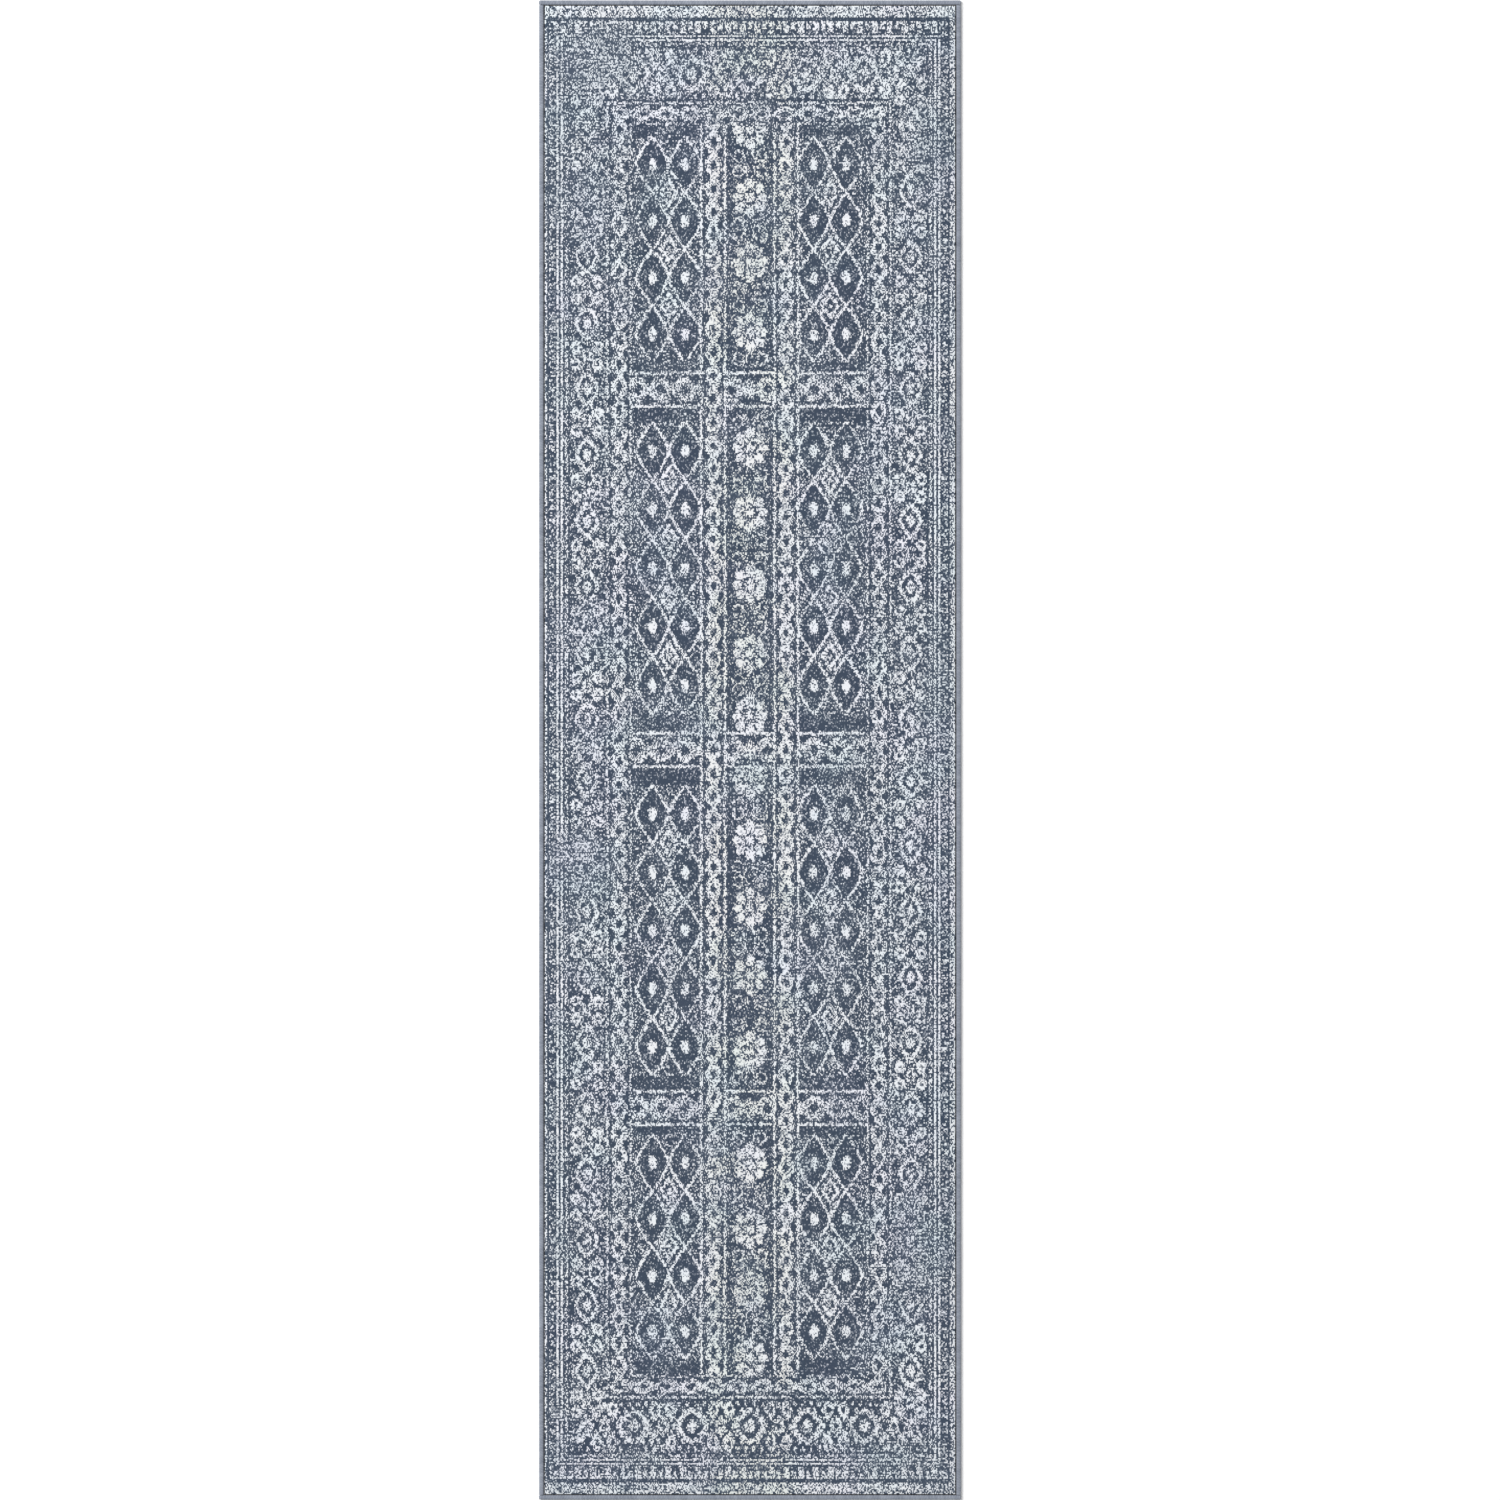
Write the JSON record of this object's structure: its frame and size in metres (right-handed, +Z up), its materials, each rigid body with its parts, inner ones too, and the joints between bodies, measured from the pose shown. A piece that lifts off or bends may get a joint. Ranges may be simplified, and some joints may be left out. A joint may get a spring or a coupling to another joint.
{
  "type": "runner rug",
  "caption": "Long narrow woven runner rug with a cut-pile face in a traditional panelled pattern, a latex-sized back and a serged edge all round.",
  "frame": {"origin": "middle of the underside, on the floor plane", "axes": "+Z up out of the pile, +Y along the length towards the far end, +X across the width to the right"},
  "size_m": [0.686, 2.438, 0.0083],
  "materials": {
    "pile_yarn": "matt cut pile in slate blue, blue-grey and off-white, worn look",
    "ground_yarn": "coarse undyed weave",
    "latex": "thin matt latex size over the weave",
    "serging_yarn": "blue-grey wrapped yarn",
    "filler_cord": "undyed twisted cord"
  },
  "bodies": {
    "root": {"pile": "pile_yarn", "ground_weave": "ground_yarn", "latex_backing": "latex", "right_side_serging": "serging_yarn", "left_side_serging": "serging_yarn", "far_end_serging": "serging_yarn", "near_end_serging": "serging_yarn", "right_side_filler_cord": "filler_cord", "left_side_filler_cord": "filler_cord", "far_end_filler_cord": "filler_cord", "near_end_filler_cord": "filler_cord"}
  },
  "joints": []
}
